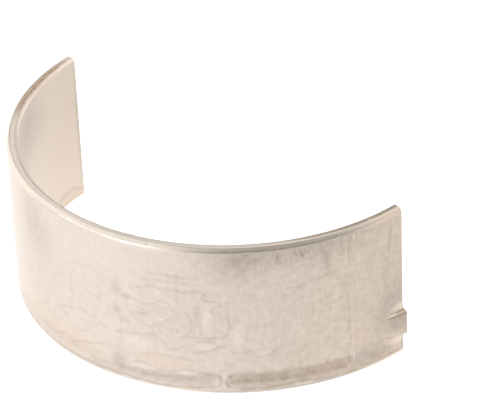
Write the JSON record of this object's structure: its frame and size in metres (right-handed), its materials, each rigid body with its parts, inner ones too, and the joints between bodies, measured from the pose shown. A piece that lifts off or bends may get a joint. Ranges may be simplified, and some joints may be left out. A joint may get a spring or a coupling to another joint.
{
  "type": "engine bearing shell",
  "caption": "Half-round plain bearing shell in its free, slightly sprung state, with chamfered rims and a pressed locating tang; lines the big end of a connecting rod.",
  "frame": {"origin": "on the axis of the running surface, halfway along the shell's width", "axes": "+Z along the shaft's axis, away from the rim nearest the tang; +X across the opening, towards the parting face that has the tang; +Y out through the opening, away from the crown"},
  "size_m": [0.0565, 0.0265, 0.0206],
  "materials": {
    "bearing_metal": "satin tin-flashed steel back and bored alloy running surface, warm light grey, water-stained"
  },
  "bodies": {
    "root": {"bearing_shell": "bearing_metal"}
  },
  "joints": []
}
